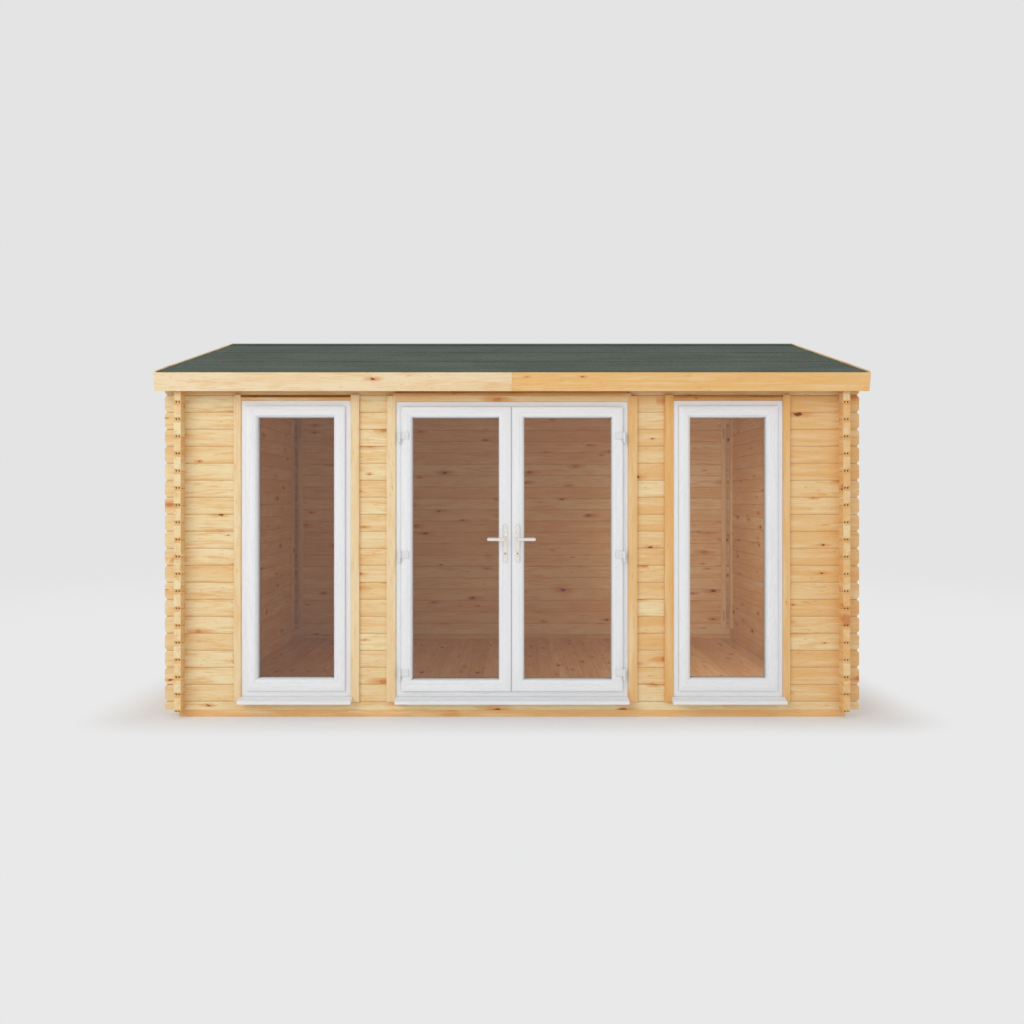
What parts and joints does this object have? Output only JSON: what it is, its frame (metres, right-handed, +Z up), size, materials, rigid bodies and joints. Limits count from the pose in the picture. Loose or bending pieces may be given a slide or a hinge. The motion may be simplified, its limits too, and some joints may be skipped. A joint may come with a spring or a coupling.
{
  "type": "garden office pod",
  "caption": "Log-built garden office with a double-pitched felt roof, glazed outward-opening double doors and a full-height fixed window on each side.",
  "frame": {"origin": "middle of the footprint at ground level, under the bearers", "axes": "+X right as seen from the doors, +Y to the back (the doors face -Y), +Z up"},
  "size_m": [4.536, 3.642, 2.6697],
  "materials": {
    "log_wood": "satin",
    "bearer_wood": "matte",
    "planed_wood": "satin",
    "board_wood": "matte",
    "roof_felt": "matte",
    "white_upvc": "satin",
    "clear_glass": "gloss",
    "satin_metal": "satin",
    "lock_brass": "satin"
  },
  "bodies": {
    "cabin": {"front_bearer": "bearer_wood", "rear_bearer": "bearer_wood", "side_bearers": "bearer_wood", "floor_joists": "bearer_wood", "floor_boards": "board_wood", "front_bottom_log": "log_wood", "front_wall_left": "log_wood", "front_wall_right": "log_wood", "front_pier_left": "log_wood", "front_pier_right": "log_wood", "front_header_logs": "log_wood", "rear_wall": "log_wood", "left_wall": "log_wood", "right_wall": "log_wood", "left_gable": "log_wood", "right_gable": "log_wood", "ridge_purlin": "log_wood", "side_purlins": "log_wood", "front_roof_boards": "board_wood", "rear_roof_boards": "board_wood", "front_roof_felt": "roof_felt", "rear_roof_felt": "roof_felt", "front_fascia_left": "planed_wood", "front_fascia_right": "planed_wood", "rear_fascias": "planed_wood", "left_bargeboards": "planed_wood", "right_bargeboards": "planed_wood", "left_window_frame": "white_upvc", "left_window_sash": "white_upvc", "left_window_glass": "clear_glass", "right_window_frame": "white_upvc", "right_window_sash": "white_upvc", "right_window_glass": "clear_glass", "window_sills": "white_upvc", "window_trims": "planed_wood", "door_frame": "white_upvc", "door_sill": "white_upvc", "door_trim": "planed_wood", "door_frame_hinges": "white_upvc", "storm_braces": "planed_wood"},
    "left_door": {"left_door_leaf": "white_upvc", "left_door_glass": "clear_glass", "left_door_hinges": "white_upvc", "left_handle_plates": "satin_metal", "left_lock_cylinder": "lock_brass"},
    "right_door": {"right_door_leaf": "white_upvc", "right_door_glass": "clear_glass", "right_door_hinges": "white_upvc", "right_handle_plates": "satin_metal", "right_lock_cylinder": "lock_brass"},
    "left_lever": {"left_lever": "satin_metal"},
    "right_lever": {"right_lever": "satin_metal"}
  },
  "joints": [
    {"name": "left_door_hinge", "type": "hinge", "parent": "cabin", "child": "left_door", "pos_m": [-0.723, -1.7055, 1.038], "axis": [0, 0, -1], "range_deg": [0, 95]},
    {"name": "right_door_hinge", "type": "hinge", "parent": "cabin", "child": "right_door", "pos_m": [0.723, -1.7055, 1.038], "axis": [0, 0, 1], "range_deg": [0, 95]},
    {"name": "left_lever_turn", "type": "hinge", "parent": "left_door", "child": "left_lever", "pos_m": [-0.043, -1.6945, 1.148], "axis": [0, -1, 0], "range_deg": [0, 40], "stiffness_Nm_per_rad": 2, "springref_deg": -20.05},
    {"name": "right_lever_turn", "type": "hinge", "parent": "right_door", "child": "right_lever", "pos_m": [0.036, -1.6945, 1.148], "axis": [0, 1, 0], "range_deg": [0, 40], "stiffness_Nm_per_rad": 2, "springref_deg": -20.05}
  ]
}
